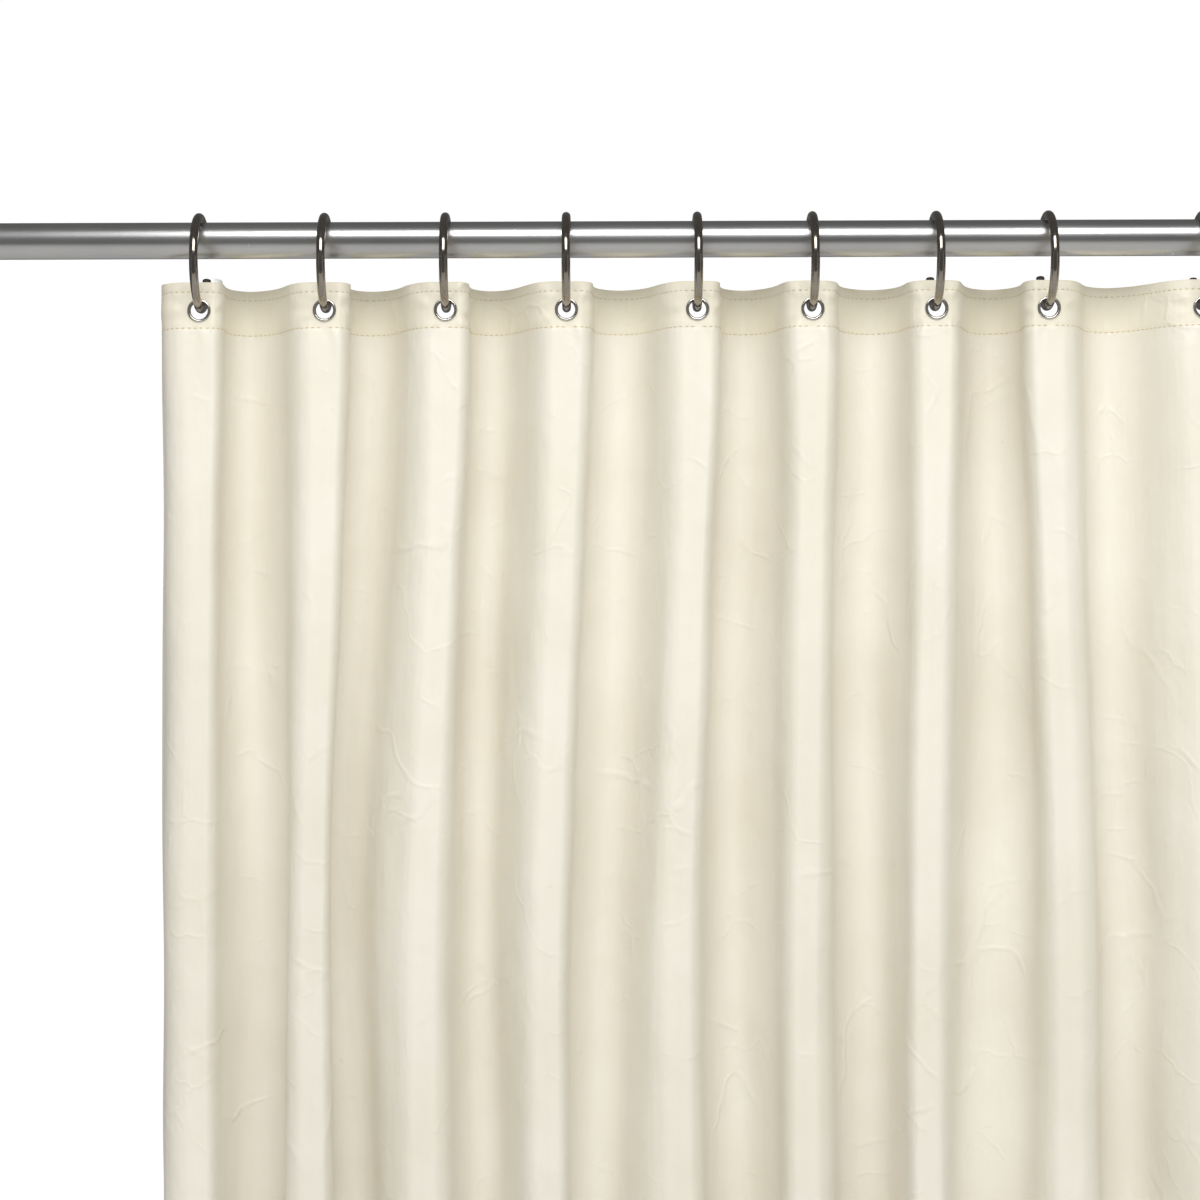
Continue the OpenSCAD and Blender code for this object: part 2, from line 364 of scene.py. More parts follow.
def drawn_tube_finish(name):
    """Satin drawn metal: lines along the rod, small scratches and slight clouding."""
    finish = Finish(name, Metallic=1.0, IOR=1.6)
    place = object_place(finish)
    lines = finish.noise(place, 1300.0, 2.0, stretch=(0.004, 1.0, 1.0))
    cloud = finish.noise(place, 18.0, 3.0, stretch=(0.4, 1.0, 1.0))
    nicks = finish.noise(place, 420.0, 1.0, stretch=(1.0, 0.25, 0.25)).ease(0.78, 0.82)
    tone = finish.mix(cloud.ease(0.3, 0.7), (0.50, 0.50, 0.505, 1), (0.57, 0.57, 0.57, 1))
    return finish.set(Base_Color=finish.mix(nicks * 0.6, tone, (0.85, 0.84, 0.82, 1)),
                      Roughness=0.24 + 0.06 * lines + 0.05 * cloud,
                      Normal=finish.bump(lines + nicks, 0.012 * MM, 0.5))


def thread_finish():
    """Tan spun thread."""
    finish = Finish("tan_thread", Sheen_Weight=0.3, Sheen_Roughness=0.5)
    place = object_place(finish)
    strands = finish.noise(place, 2600.0, 2.0, stretch=(1.0, 1.0, 0.4))
    return finish.set(Base_Color=finish.mix(strands, (0.50, 0.38, 0.22, 1), (0.68, 0.56, 0.36, 1)),
                      Roughness=0.62 + 0.2 * strands,
                      Normal=finish.bump(strands, 0.06 * MM, 0.6))


def label_finish():
    """Thin white woven film."""
    finish = Finish("label_film", Subsurface_Weight=0.2, Subsurface_Scale=0.004)
    cloth = finish.node("ShaderNodeAttribute", {"attribute_name": "cloth"}, out=1)
    weave = finish.node("ShaderNodeTexChecker", None, {
        "Vector": cloth, "Scale": 2600.0, "Color1": (1, 1, 1, 1), "Color2": (0, 0, 0, 1)}, out=1)
    cloud = finish.noise(cloth, 60.0, 3.0)
    return finish.set(Base_Color=finish.mix(cloud, (0.78, 0.78, 0.76, 1), (0.88, 0.88, 0.87, 1)),
                      Roughness=0.38 + 0.2 * cloud, Normal=finish.bump(weave, 0.03 * MM, 0.6))


def dark_steel_finish():
    """Dull dark steel with a few bright rubs."""
    finish = Finish("dark_steel", Metallic=0.9)
    place = object_place(finish)
    cloud = finish.noise(place, 700.0, 3.0)
    rub = cloud.ease(0.6, 0.75)
    return finish.set(Base_Color=finish.mix(rub, (0.10, 0.10, 0.105, 1), (0.34, 0.34, 0.35, 1)),
                      Roughness=0.5 - 0.18 * rub, Normal=finish.bump(cloud, 0.03 * MM, 0.5))


VINYL = vinyl_finish()
RING_NICKEL = nickel_finish("ring_nickel", (0.37, 0.33, 0.29), 0.07, 0.3, 0.4)
EYELET_NICKEL = nickel_finish("eyelet_nickel", (0.70, 0.68, 0.63), 0.16, 0.2, 0.1)
TUBE_METAL = drawn_tube_finish("satin_tube")
FLANGE_METAL = drawn_tube_finish("satin_flange")
THREAD = thread_finish()
LABEL = label_finish()
DARK_STEEL = dark_steel_finish()


def finished(piece, material, body=None, replaced=()):
    """Gives a piece its material, slot and body, and hides the CAD nodes that it stands for."""
    piece.data.materials.clear()
    piece.data.materials.append(material)
    if body:
        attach(piece, body)
    if replaced:
        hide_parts(*replaced)
    return piece


# ------------------------------------------------------------------ rod and flanges


def rod():
    """The tube: a ring-shaped outline with eased ends, turned round the rod's axis."""
    low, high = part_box("rod_tube")
    inside = ROD_RADIUS - TUBE_WALL
    outline = rounded([(ROD_RADIUS, low.x), (inside, low.x),
                       (inside, high.x), (ROD_RADIUS, high.x)], 0.4 * MM)
    tube = turned("rod", outline, (0, 0, 0), (1, 0, 0), sides=128)
    finished(tube, TUBE_METAL, "rod", ["rod_tube"])


def smooth_copy(node, name, material):
    """A CAD node's shape with its triangles joined, shaded smooth except across its edges."""
    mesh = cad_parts[node].data
    points = np.zeros(len(mesh.vertices) * 3)
    mesh.vertices.foreach_get("co", points)
    corners = np.zeros(len(mesh.loops), int)
    mesh.loops.foreach_get("vertex_index", corners)
    points = points.reshape(-1, 3)
    _, first, same = np.unique(np.round(points / (0.001 * MM)), axis=0,
                               return_index=True, return_inverse=True)
    faces = same.reshape(-1)[corners].reshape(-1, 3)
    whole = (faces[:, 0] != faces[:, 1]) & (faces[:, 1] != faces[:, 2]) & (faces[:, 2] != faces[:, 0])
    piece = new_piece(name, points[first], faces[whole])
    piece.data.set_sharp_from_angle(angle=math.radians(28))
    finished(piece, material, "rod", [node])


# ------------------------------------------------------------------ rings and eyelets


# Where each ring's wire ends at the lower back, in degrees below level
LOWER_END = np.array([14, 21, 22, 21, 22, 20, 15, 14, 17, 21, 16, 19])
# Where every ring's wire ends at the upper back, in degrees above level
UPPER_END = 46
CUT_EASE = 0.9 * MM              # how far the cut ends of the wire are rounded


def ring(k, sections=132, sides=32):
    """An open wire ring: a circle of the wire's radius carried round an arc across the rod.

    A point is centre + (R + r cos b) * spoke(a) + r sin b * X, where r shrinks over the
    last millimetre at each end so that the cut ends are eased.
    """
    node = numbered("ring", k)
    low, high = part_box(node)
    arc_radius = (high.z - low.z) / 2 - WIRE_RADIUS
    centre = np.array([(low.x + high.x) / 2, 0, (low.z + high.z) / 2])
    start, end = math.radians(UPPER_END), math.radians(360 - LOWER_END[k - 1])
    ease_angle = CUT_EASE / arc_radius
    a = np.concatenate([start + ease_angle * (1 - np.cos(np.linspace(0, math.pi / 2, 6)[:-1])),
                        np.linspace(start + ease_angle, end - ease_angle, sections),
                        end - ease_angle * (1 - np.cos(np.linspace(math.pi / 2, 0, 6)[1:]))])
    inset = np.minimum(a - start, end - a) / ease_angle
    depth = 1 - np.sqrt(np.clip(1 - (1 - np.clip(inset, 0, 1)) ** 2, 0, 1))
    r = WIRE_RADIUS - CUT_EASE * depth
    a = np.concatenate([a[:1], a, a[-1:]])
    r = np.concatenate([r[:1] * 0.3, r, r[-1:] * 0.3])
    b = np.linspace(0, 2 * math.pi, sides, endpoint=False)
    spoke = np.stack([np.zeros_like(a), np.cos(a), np.sin(a)], -1)
    points = (centre + (arc_radius + r[:, None] * np.cos(b))[..., None] * spoke[:, None, :]
              + (r[:, None] * np.sin(b))[..., None] * np.array([1.0, 0, 0]))
    rows = len(a)
    faces = grid_faces(rows, sides, wrap_columns=True).tolist()
    faces.append(list(range(sides))[::-1])
    faces.append([(rows - 1) * sides + c for c in range(sides)])
    piece = new_piece(numbered("wire_ring", k), points.reshape(-1, 3), faces)
    piece.data.set_sharp_from_angle(angle=math.radians(50))
    finished(piece, RING_NICKEL, numbered("hanger", k), [node])


def eyelet(k):
    """A barrel with a rolled flange in front and a lip rolled over the washer, turned as one."""
    node = numbered("eyelet", k)
    low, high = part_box(node)
    centre = ((low.x + high.x) / 2, 0, (low.z + high.z) / 2)
    bore, barrel, lip = BORE_RADIUS, BARREL_RADIUS, LIP_RADIUS
    front, back = SHEET_FRONT_AT_EYELET, high.y
    roll = (EYELET_RADIUS - bore) / 2
    phi = np.linspace(0, math.pi, 15)
    flange = np.stack([bore + roll - roll * np.cos(phi), front - (front - low.y) * np.sin(phi)], -1)
    lip_front = WASHER_LOW.y + WASHER_THICK
    outline = np.concatenate([
        [[bore, back - 0.25 * MM], [bore, front]], flange[1:],
        [[EYELET_RADIUS - 0.3 * MM, front + 0.02 * MM], [barrel, front + 0.02 * MM],
         [barrel, lip_front], [lip, lip_front], [lip + 0.1 * MM, (lip_front + back) / 2],
         [lip - 0.2 * MM, back], [bore + 0.25 * MM, back]]])
    piece = turned(numbered("rolled_eyelet", k), outline, centre, (0, 1, 0), sides=72)
    recalculated(piece)
    piece.data.set_sharp_from_angle(angle=math.radians(60))
    finished(piece, EYELET_NICKEL, numbered("hanger", k), [node])


def washer(k):
    """The plain washer on the back, with eased edges."""
    node = numbered("washer", k)
    low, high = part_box(node)
    centre = ((low.x + high.x) / 2, 0, (low.z + high.z) / 2)
    outline = rounded([(WASHER_HOLE_RADIUS, low.y), (WASHER_HOLE_RADIUS, high.y),
                       (EYELET_RADIUS, high.y), (EYELET_RADIUS, low.y)], 0.2 * MM)
    piece = turned(numbered("back_washer", k), outline, centre, (0, 1, 0), sides=64)
    recalculated(piece)
    finished(piece, EYELET_NICKEL, numbered("hanger", k), [node])


def recalculated(piece):
    """Turns a closed piece's faces outwards."""
    worked = bmesh.new()
    worked.from_mesh(piece.data)
    bmesh.ops.recalc_face_normals(worked, faces=worked.faces)
    worked.to_mesh(piece.data)
    worked.free()
    piece.data.shade_smooth()


# ------------------------------------------------------------------ the sheet's surface

# Where along each gap's cloth the valley lies: below a half, nearer the ring on the left
VALLEY_SHARE = np.array([0.455, 0.465, 0.47, 0.47, 0.49, 0.505, 0.51, 0.48, 0.505, 0.48, 0.505])
# Where a fold's flanks are steepest: below one, close to the crest, behind it and before the next
BACK_SKEW = np.array([0.72, 0.74, 0.76, 0.76, 0.72, 0.72, 0.74, 0.90, 0.80, 0.76, 0.82])
FORWARD_SKEW = np.array([0.95, 0.95, 0.92, 0.92, 0.76, 0.74, 0.70, 0.90, 0.80, 0.95, 0.82])
# How far each fold's crest wanders sideways by half a metre down
CREST_DRIFT = np.array([-4, -10, -17, -15, -15, -7, -9, 12, 5, -6, 4, -4]) * MM
FLANK_POWER = 0.7                # below one, a flank's steep part is broad
SOLVER_STEPS = 14
WAVE_PHASE = np.random.default_rng(11).uniform(0, 2 * math.pi, (RING_COUNT + 1, 6))


def sheet_rows():
    """Distances down from the top edge, close together where the stitches and hems are."""
    return MM * np.concatenate([
        np.arange(0, 46, 1.3), np.arange(46, 120, 3.2), np.arange(120, 1786, 9.0),
        np.arange(1786, 1827, 3.0), [SHEET_HEIGHT / MM]])


def fold_columns(length):
    """Distances along one gap's cloth, close together beside the eyelets."""
    near = np.arange(0, 12.0, 1.2) * MM
    far = np.linspace(12.0 * MM, length - 12.0 * MM, 62)
    return np.concatenate([near, far, (length - near)[::-1]])


def waves(s, length, down, k):
    """Soft extra bends in a fold: two sines along the cloth whose phase wanders on the way down."""
    p = WAVE_PHASE[k]
    inside = ease(s, 9 * MM, 26 * MM) * ease(length - s, 9 * MM, 26 * MM)
    slow = 0.9 * np.sin(2.6 * down + p[0]) + 0.6 * np.sin(6.1 * down + p[1])
    quick = 1.1 * np.sin(3.3 * down + p[2])
    size = 0.05 + 0.08 * ease(down, 0.02, 0.3)
    return inside * size * (np.sin(2 * math.pi * 2 * s / length + slow + p[3])
                            + 0.6 * np.sin(2 * math.pi * 3.4 * s / length + quick + p[4]))


def crest_x(k, down):
    """Where the k-th crest is along the rod at a distance down the sheet."""
    wander = ease(down, 0.03, 0.52) * (1 - ease(down, 0.75, 1.75))
    return RING_X[k] + CREST_DRIFT[k] * wander


def crest_y(k, down):
    """How far back the k-th crest is: on the eyelet's plane at the top, a little forward lower down."""
    p = WAVE_PHASE[k]
    lean = ease(down, 0.06, 0.5) * (1 - ease(down, 1.35, 1.78))
    return SHEET_FRONT_AT_EYELET + lean * (-7 + 3 * np.sin(3.1 * down + p[5])) * MM


def fold(k, down, s):
    """x and y of the cloth between crests k and k + 1, one row for each distance down.

    The heading along the cloth is A sin(pi t^q)^p on the way back to the valley and the same
    with its own A and a minus sign on the way forward, plus the soft waves. x and y are
    the running sums of its cosine and sine, so the cloth keeps its length, and the two
    sizes A are the ones that land on the next crest.
    """
    length = s[-1]
    step, at = np.diff(s), (s[1:] + s[:-1]) / 2
    down = down[:, None]
    flat = (9 - 2.5 * ease(down, 0.035, 0.2)) * MM
    share = VALLEY_SHARE[k] + 0.03 * np.sin(4.0 * down + WAVE_PHASE[k][3]) * ease(down, 0.1, 0.5)
    valley = share * length
    t_back = np.clip((at - flat) / (valley - flat), 0, 1)
    t_forward = np.clip((length - flat - at) / (length - flat - valley), 0, 1)
    back = np.clip(np.sin(math.pi * t_back ** BACK_SKEW[k]), 0, 1) ** FLANK_POWER
    forward = np.clip(np.sin(math.pi * t_forward ** FORWARD_SKEW[k]), 0, 1) ** FLANK_POWER
    extra = waves(at, length, down, k)
    want_x = crest_x(k + 1, down) - crest_x(k, down)
    want_y = crest_y(k + 1, down) - crest_y(k, down)
    a = np.full_like(down, 1.5)
    b = np.full_like(down, 1.5)
    for _ in range(SOLVER_STEPS):
        heading = a * back - b * forward + extra
        along, across = np.cos(heading) * step, np.sin(heading) * step
        miss_x = along.sum(1, keepdims=True) - want_x
        miss_y = across.sum(1, keepdims=True) - want_y
        xa, xb = -(across * back).sum(1, keepdims=True), (across * forward).sum(1, keepdims=True)
        ya, yb = (along * back).sum(1, keepdims=True), -(along * forward).sum(1, keepdims=True)
        det = xa * yb - xb * ya
        det = np.where(np.abs(det) < 1e-6, 1e-6, det)
        a = np.clip(a - np.clip((miss_x * yb - xb * miss_y) / det, -0.25, 0.25), 0.2, 2.4)
        b = np.clip(b - np.clip((xa * miss_y - miss_x * ya) / det, -0.25, 0.25), 0.2, 2.4)
    x = crest_x(k, down) + np.concatenate([0 * down, np.cumsum(along, 1)], 1)
    y = crest_y(k, down) + np.concatenate([0 * down, np.cumsum(across, 1)], 1)
    return x, y


def side_flap(k, down, s):
    """x and y of the cloth from an outer crest to the side edge, as distances from the crest.

    The heading is A sin(pi t / 1.35) plus a soft curl, so the flap still runs back at its
    edge.
    """
    step, at = np.diff(s), (s[1:] + s[:-1]) / 2
    down = down[:, None]
    flat = (9 - 6 * ease(down, 0.035, 0.2)) * MM
    bend = np.sin(math.pi * np.clip((at - flat) / (s[-1] - flat), 0, 1) / 1.35)
    curl = 0.16 * np.sin(9 * at / s[-1] + 2.2 * down + WAVE_PHASE[k][1]) * ease(at, 15 * MM, 45 * MM)
    want = EDGE_REACH * (1 - 0.10 * ease(down, 0.05, 0.5) * (1 - ease(down, 1.3, 1.8)))
    a = np.full_like(down, 1.3)
    for _ in range(SOLVER_STEPS):
        heading = a * bend + curl
        miss = (np.cos(heading) * step).sum(1, keepdims=True) - want
        slope = -(np.sin(heading) * step * bend).sum(1, keepdims=True)
        a = np.clip(a - miss / np.where(np.abs(slope) < 1e-6, 1e-6, slope), 0.2, 2.2)
    x = np.concatenate([0 * down, np.cumsum(np.cos(heading) * step, 1)], 1)
    y = np.concatenate([0 * down, np.cumsum(np.sin(heading) * step, 1)], 1)
    return x, y


def relief(across, down):
    """How far the front stands proud of its smooth shape: puckers at the stitches, folds that
    fan out from each eyelet, and shallow dents from handling."""
    out = np.zeros_like(across * down)
    for line in (TOP_STITCH, HEADER_STITCH, SHEET_HEIGHT - HEM_DEEP):
        pull = 0.75 + 0.25 * np.sin(across * 2 * math.pi / (7 * MM) + 30 * np.sin(across * 9))
        out -= 0.22 * MM * pull * hump(down, line, 1.0 * MM)
        beside = hump(down, line - 2.6 * MM, 1.6 * MM) + hump(down, line + 2.6 * MM, 1.6 * MM)
        out += 0.10 * MM * pull * beside
    rng = np.random.default_rng(5)
    for k in range(RING_COUNT):
        dx, dz = across - (k + 0.5) * PITCH, down - EYELET_DROP
        far = np.hypot(dx, dz)
        angle = np.arctan2(dx, dz)
        fan = np.cos(7 * angle + rng.uniform(0, 6)) + 0.6 * np.cos(11 * angle + rng.uniform(0, 6))
        out += 0.6 * MM * fan * ease(far, 9.5 * MM, 17 * MM) * np.exp(-far / (30 * MM))
    quiet = np.ones_like(out)
    for k in range(RING_COUNT):
        quiet *= ease(np.hypot(across - (k + 0.5) * PITCH, down - EYELET_DROP), 10 * MM, 22 * MM)
    for _ in range(26):
        fx, fz = rng.uniform(-70, 70), rng.uniform(-34, 34)
        out += quiet * 0.12 * MM * np.sin(fx * across + fz * down + rng.uniform(0, 6.3))
    return out


def whole_sheet():
    """The sheet as grids: cloth place, front, back and normals, with each crest's column."""
    down = sheet_rows()
    flap_s = fold_columns(PITCH)
    flap_s = flap_s[flap_s <= PITCH / 2]
    flap_s = np.append(flap_s, PITCH / 2)
    span_s = fold_columns(PITCH)
    left_x, left_y = side_flap(0, down, flap_s)
    right_x, right_y = side_flap(RING_COUNT, down, flap_s)
    first, last = 0, RING_COUNT - 1
    xs = [(crest_x(first, down[:, None]) - left_x)[:, ::-1]]
    ys = [(crest_y(first, down[:, None]) + left_y)[:, ::-1]]
    across = [PITCH / 2 - flap_s[::-1]]
    crests = [len(flap_s) - 1]
    for k in range(RING_COUNT - 1):
        x, y = fold(k, down, span_s)
        xs.append(x[:, 1:])
        ys.append(y[:, 1:])
        across.append((k + 0.5) * PITCH + span_s[1:])
        crests.append(crests[-1] + len(span_s) - 1)
    xs.append((crest_x(last, down[:, None]) + right_x)[:, 1:])
    ys.append((crest_y(last, down[:, None]) + right_y)[:, 1:])
    across.append((RING_COUNT - 0.5) * PITCH + flap_s[1:])
    x, y, across = np.concatenate(xs, 1), np.concatenate(ys, 1), np.concatenate(across)
    from_crest = np.abs((across / PITCH) % 1 - 0.5) * 2
    sag = 0.7 * MM * np.sin(from_crest * math.pi / 2) ** 2
    z = SHEET_TOP - down[:, None] - sag[None, :] * (1 - 0.4 * ease(down, 0.1, 0.9)[:, None])
    smooth = np.stack([x, y, z], -1)
    outward = outward_normals(smooth)
    front = smooth + outward * relief(across[None, :], down[:, None])[..., None]
    normals = outward_normals(front)
    layers = (1 - ease(down, HEADER_DEEP - 0.3 * MM, HEADER_DEEP + 0.3 * MM)
              + ease(down, SHEET_HEIGHT - HEM_DEEP - 1.5 * MM, SHEET_HEIGHT - HEM_DEEP + 1.5 * MM))
    sides = 1 - ease(np.minimum(across, SHEET_WIDTH - across), SIDE_HEM - 1 * MM, SIDE_HEM + 1 * MM)
    doubled = np.clip(layers[:, None] + 0.8 * sides[None, :], 0, 1)
    thick = SHEET_THICK + (HEADER_THICK - SHEET_THICK) * doubled
    back = front - outward * thick[..., None]
    cloth = np.stack(np.broadcast_arrays(across[None, :], down[:, None], 0.0 * x), -1)
    return cloth, front, back, normals, crests


def outward_normals(points):
    """Unit normals of a grid of points, towards the front, from its central differences."""
    right = np.gradient(points, axis=1)
    under = np.gradient(points, axis=0)
    n = np.cross(right, -under)
    return n / np.linalg.norm(n, axis=-1, keepdims=True)


CLOTH, FRONT, BACK, NORMALS, CRESTS = whole_sheet()


def with_hole(cloth, grids, k):
    """Cuts eyelet k's hole: cells inside it go, and the points round it move onto a circle."""
    dx, dz = cloth[..., 0] - (k + 0.5) * PITCH, cloth[..., 1] - EYELET_DROP
    far = np.maximum(np.hypot(dx, dz), 1e-9)
    cell = (far[1:, 1:] + far[:-1, :-1] + far[1:, :-1] + far[:-1, 1:]) / 4
    near = (far < HOLE_RADIUS + 0.7 * MM) & (far > HOLE_RADIUS - 2.2 * MM)
    onto = np.where(far < HOLE_RADIUS, HOLE_RADIUS / far, 1.0)
    for grid in grids:
        grid[..., 0] += np.where(near, dx * (onto - 1), 0)
        grid[..., 2] -= np.where(near, dz * (onto - 1), 0)
    return cell > HOLE_RADIUS - 0.35 * MM


def span(k):
    """The sheet from ring k to ring k + 1, with its side flap at either end of the curtain."""
    begin = 0 if k == 0 else CRESTS[k]
    end = CLOTH.shape[1] if k == RING_COUNT - 2 else CRESTS[k + 1] + 1
    cut = (slice(None), slice(begin, end))
    cloth, front, back, normals = (g[cut].copy() for g in (CLOTH, FRONT, BACK, NORMALS))
    keep = with_hole(cloth, (front, back), k) & with_hole(cloth, (front, back), k + 1)
    piece = shell(numbered("curtain_span", k + 1), front, back, normals, cloth, keep)
    nodes = [numbered("pleat", k + 1)] + ([numbered("pleat", k + 2)] if k == RING_COUNT - 2 else [])
    finished(piece, VINYL, replaced=nodes)
    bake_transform(piece)
    threads = stitching(k, cloth[0, :, 0].min(), cloth[0, :, 0].max())


def on_sheet(across, down):
    """Points and normals of the front at places on the flat sheet, by straight interpolation."""
    columns, rows = CLOTH[0, :, 0], CLOTH[:, 0, 1]
    c = np.clip(np.searchsorted(columns, across) - 1, 0, len(columns) - 2)
    r = np.clip(np.searchsorted(rows, down) - 1, 0, len(rows) - 2)
    u = ((across - columns[c]) / (columns[c + 1] - columns[c]))[..., None]
    v = ((down - rows[r]) / (rows[r + 1] - rows[r]))[..., None]
    mixed = []
    for grid in (FRONT, NORMALS):
        upper = grid[r, c] * (1 - u) + grid[r, c + 1] * u
        lower = grid[r + 1, c] * (1 - u) + grid[r + 1, c + 1] * u
        mixed.append(upper * (1 - v) + lower * v)
    return mixed[0], mixed[1] / np.linalg.norm(mixed[1], axis=-1, keepdims=True)


def stitching(k, start, end, pitch=4.2 * MM, length=2.8 * MM, sides=6):
    """The stitches of one span: short threads that rise out of the sheet and dive back in.

    Each is a small circle carried along the sheet; its radius and its height over the
    sheet follow a half sine along the stitch.
    """
    t = np.linspace(0, 1, 6)
    middle_of = np.arange(math.ceil(start / pitch), math.floor(end / pitch)) * pitch + pitch / 2
    b = np.linspace(0, 2 * math.pi, sides, endpoint=False)
    points, faces, count = [], [], 0
    for line in (TOP_STITCH, HEADER_STITCH, SHEET_HEIGHT - HEM_DEEP):
        slant = 0.12 * MM * np.sin(middle_of * 5100)
        across = middle_of[:, None] + (t - 0.5) * length
        down = line + slant[:, None] * (t - 0.5) * 2 + 0 * across
        base, normal = on_sheet(across, down)
        along = np.gradient(base, axis=1)
        along /= np.linalg.norm(along, axis=-1, keepdims=True)
        aside = np.cross(normal, along)
        rise = (0.36 * np.sin(math.pi * t) - 0.14) * MM
        thick = (0.09 + 0.20 * np.sin(math.pi * t) ** 0.6) * MM
        centre = base + normal * rise[None, :, None]
        spoke = (np.cos(b)[None, None, :, None] * normal[:, :, None, :]
                 + np.sin(b)[None, None, :, None] * aside[:, :, None, :])
        tube = centre[:, :, None, :] + thick[None, :, None, None] * spoke
        one = grid_faces(len(t), sides, wrap_columns=True)
        each = len(t) * sides
        shift = count + np.arange(len(middle_of))[:, None, None] * each
        faces += (one[None] + shift).reshape(-1, 4).tolist()
        caps = np.stack([np.arange(sides)[::-1], each - sides + np.arange(sides)])
        faces += (caps[None] + shift).reshape(-1, sides).tolist()
        points.append(tube.reshape(-1, 3))
        count += len(middle_of) * each
    piece = new_piece(numbered("stitching", k + 1), np.concatenate(points), faces)
    recalculated(piece)
    finished(piece, THREAD)
    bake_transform(piece)
    return piece


# ------------------------------------------------------------------ label and magnets


def care_label():
    """A thin tab behind the header: a slice of the sheet's own surface, moved back and raised."""
    low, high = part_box("care_label")
    width, proud, height = 17 * MM, 3 * MM, high.z - low.z
    across = (0.5 * PITCH + 11 * MM + np.linspace(0, width, 18))[None, :]
    down = np.linspace(-proud, height - proud, 24)[:, None]
    across, down = np.broadcast_arrays(across, down)
    base, normal = on_sheet(across, np.maximum(down, 0.0))
    base = base.copy()
    base[..., 2] -= np.minimum(down, 0.0)
    gap = HEADER_THICK + 0.25 * MM
    away = normal * (gap + 0.6 * MM * ease(down, 0.0, height))[..., None]
    front = base - away
    cloth = np.stack([across, down, 0 * across], -1)
    piece = shell("sewn_label", front, front - normal * 0.25 * MM, normal, cloth)
    finished(piece, LABEL, replaced=["care_label"])
    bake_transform(piece)


def hem_magnet(side, k):
    """A round magnet under a round patch of the same vinyl, welded to the back round its rim."""
    node = f"magnet_{side}"
    low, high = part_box(node)
    centre = ((low.x + high.x) / 2, 0, (low.z + high.z) / 2)
    radius = (high.x - low.x) / 2
    outline = rounded([(NEAR_AXIS, low.y), (NEAR_AXIS, high.y),
                       (radius, high.y), (radius, low.y)], 0.4 * MM)
    disc = turned(f"hem_{node}", outline, centre, (0, 1, 0), sides=48)
    recalculated(disc)
    finished(disc, DARK_STEEL, numbered("hanger", k), [node])
    over, rim, skin = high.y + 0.5 * MM, low.y + 0.15 * MM, 0.4 * MM
    outer = [(NEAR_AXIS, over), (radius + 0.2 * MM, over), (radius + 1.6 * MM, rim + skin),
             (radius + 3.2 * MM, rim + skin / 2), (radius + 3.2 * MM, rim - skin / 2)]
    inner = [(radius + 1.2 * MM, rim - skin / 2), (radius + 0.1 * MM, over - skin),
             (NEAR_AXIS, over - skin)]
    patch = turned(f"patch_{side}", rounded(outer + inner, 0.25 * MM), centre, (0, 1, 0), sides=48)
    recalculated(patch)
    stored = patch.data.attributes.new("cloth", "FLOAT_VECTOR", "POINT")
    for point, vertex in zip(stored.data, patch.data.vertices):
        point.vector = (vertex.co.x, SHEET_TOP - vertex.co.z, 0)
    finished(patch, VINYL, numbered("hanger", k))


# ------------------------------------------------------------------ studio


FLOOR_SIZE, FLOOR_DROP = 7, 0.06
LAMPS = (                        # name, place, size, watts
    ("key", (0.6, -1.65, 1.22), (1.9, 1.0), 36),
    ("left_fill", (-1.5, -1.5, -0.4), (1.0, 1.8), 0.8),
    ("right_fill", (2.6, -1.5, -0.4), (1.0, 1.8), 1.6),
)
LAMPS_AIM = (0.6, 0.0, -0.5)
# The surround's strength, from straight above, ahead or behind to straight sideways
SURROUND_FADE = (("From Min", 0.3), ("From Max", 1.0), ("To Min", 1.03), ("To Max", 0.26))
GLOSSY_STRENGTH = 0.13           # the surround as reflections see it
BACKDROP_STRENGTH = 1.02         # the white behind everything
CAMERA_LENS = 79.7
CAMERA_ASIDE, CAMERA_BACK, CAMERA_BELOW = 0.2776, 1.85, 0.251   # from ring 1 and the rod
CAMERA_ROLL = 0.19


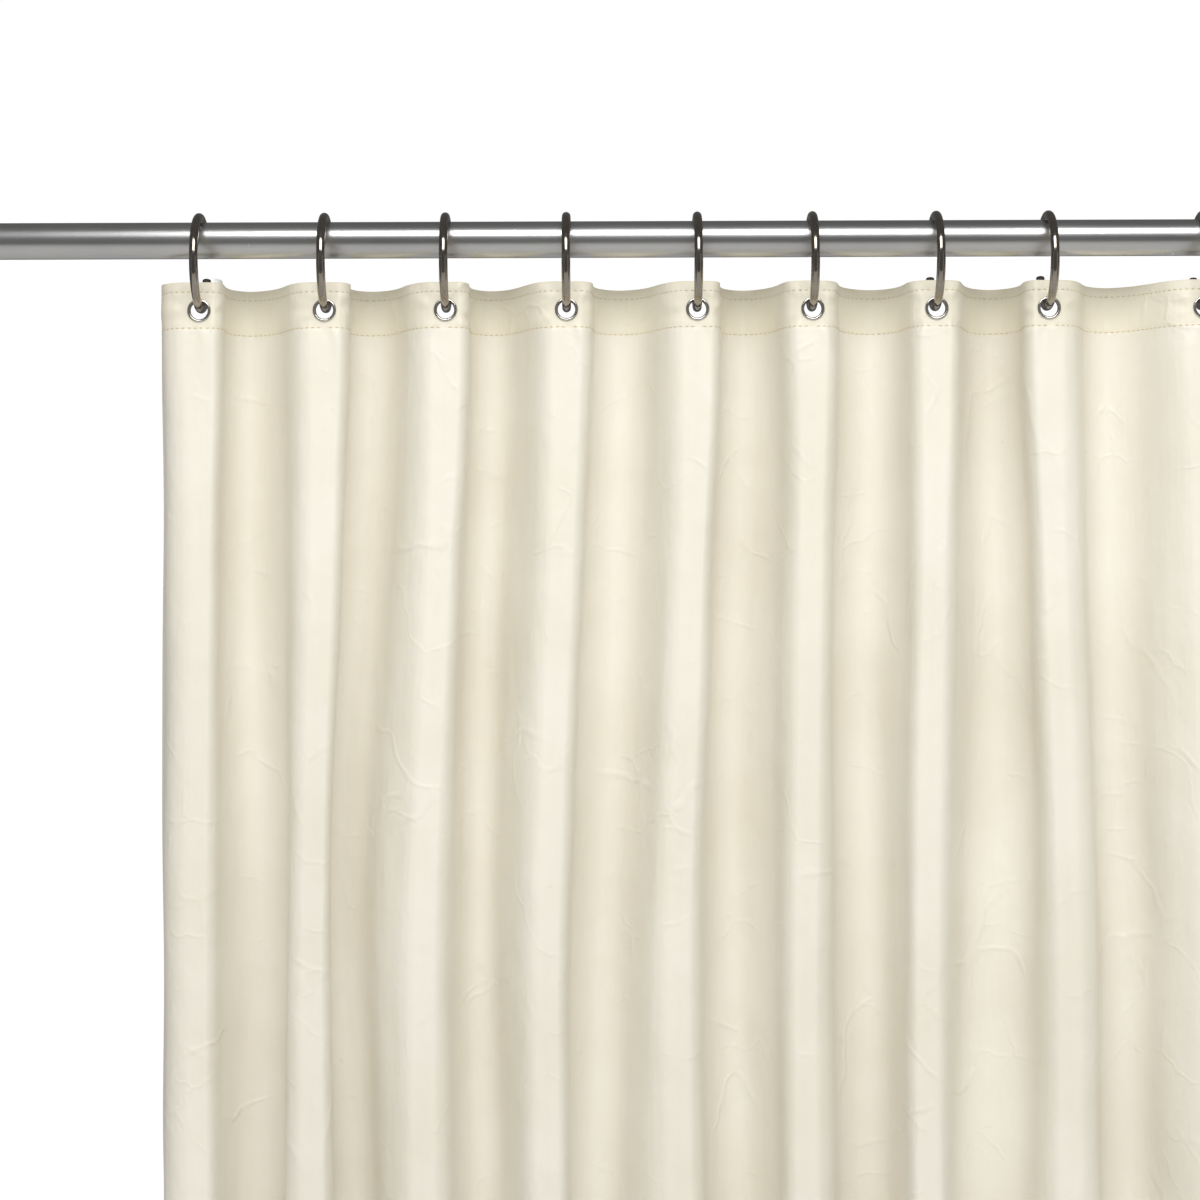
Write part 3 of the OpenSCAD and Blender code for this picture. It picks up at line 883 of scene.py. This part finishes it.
def studio():
    """A pale floor, one large soft light above the front, two weak ones at the sides."""
    bpy.ops.mesh.primitive_plane_add(size=FLOOR_SIZE, location=(0.7, 0.3, SHEET_BOTTOM - FLOOR_DROP))
    floor = bpy.context.object
    floor.name = "studio_floor"
    paint = Finish("pale_floor", Roughness=0.7)
    cloud = paint.noise(object_place(paint), 3.0, 3.0)
    floor.data.materials.append(paint.set(
        Base_Color=paint.mix(cloud, (0.62, 0.62, 0.61, 1), (0.66, 0.66, 0.65, 1))))
    for name, place, size, watts in LAMPS:
        lamp = bpy.data.lights.new(name, "AREA")
        lamp.shape, lamp.size, lamp.size_y, lamp.energy = "RECTANGLE", *size, watts
        holder = bpy.data.objects.new(name, lamp)
        bpy.context.scene.collection.objects.link(holder)
        holder.location = place
        aim = Vector(LAMPS_AIM) - Vector(place)
        holder.rotation_euler = aim.to_track_quat("-Z", "Y").to_euler()
    world = bpy.data.worlds.new("studio")
    bpy.context.scene.world = world
    world.use_nodes = True
    nodes, links = world.node_tree.nodes, world.node_tree.links
    surround = nodes["Background"]
    white = nodes.new("ShaderNodeBackground")
    rays = nodes.new("ShaderNodeLightPath")
    mixed = nodes.new("ShaderNodeMixShader")
    way = nodes.new("ShaderNodeTexCoord")
    parts = nodes.new("ShaderNodeSeparateXYZ")
    sideways = nodes.new("ShaderNodeMath")
    falling = nodes.new("ShaderNodeMapRange")
    strength = nodes.new("ShaderNodeMix")
    links.new(way.outputs["Generated"], parts.inputs[0])
    sideways.operation = "ABSOLUTE"
    links.new(parts.outputs["X"], sideways.inputs[0])
    falling.interpolation_type = "SMOOTHSTEP"
    for socket, value in SURROUND_FADE:
        falling.inputs[socket].default_value = value
    links.new(sideways.outputs[0], falling.inputs["Value"])
    links.new(rays.outputs["Is Glossy Ray"], strength.inputs[0])
    links.new(falling.outputs[0], strength.inputs[2])
    strength.inputs[3].default_value = GLOSSY_STRENGTH
    links.new(strength.outputs[0], surround.inputs["Strength"])
    surround.inputs["Color"].default_value = (1.0, 0.99, 0.97, 1)
    white.inputs["Color"].default_value = (1.0, 1.0, 1.0, 1)
    white.inputs["Strength"].default_value = BACKDROP_STRENGTH
    links.new(rays.outputs["Is Camera Ray"], mixed.inputs[0])
    links.new(surround.outputs[0], mixed.inputs[1])
    links.new(white.outputs[0], mixed.inputs[2])
    links.new(mixed.outputs[0], nodes["World Output"].inputs[0])


def camera():
    """Level, just below the rod, square to it, with a slight roll."""
    data = bpy.data.cameras.new("camera")
    data.lens = CAMERA_LENS
    view = bpy.data.objects.new("camera", data)
    bpy.context.scene.collection.objects.link(view)
    view.location = (RING_X[0] + CAMERA_ASIDE, -CAMERA_BACK, -CAMERA_BELOW)
    view.rotation_euler = (math.radians(90), math.radians(CAMERA_ROLL), 0)
    bpy.context.scene.camera = view


bpy.context.scene.view_settings.view_transform = "Standard"
rod()
for side in ("left", "right"):
    smooth_copy(f"flange_{side}", f"wall_flange_{side}", FLANGE_METAL)
    smooth_copy(f"grub_screw_{side}", f"socket_screw_{side}", DARK_STEEL)
for k in range(1, RING_COUNT + 1):
    ring(k)
    eyelet(k)
    washer(k)
for k in range(RING_COUNT - 1):
    span(k)
care_label()
for side, k in (("left", 1), ("middle", 6), ("right", 12)):
    hem_magnet(side, k)
studio()
camera()
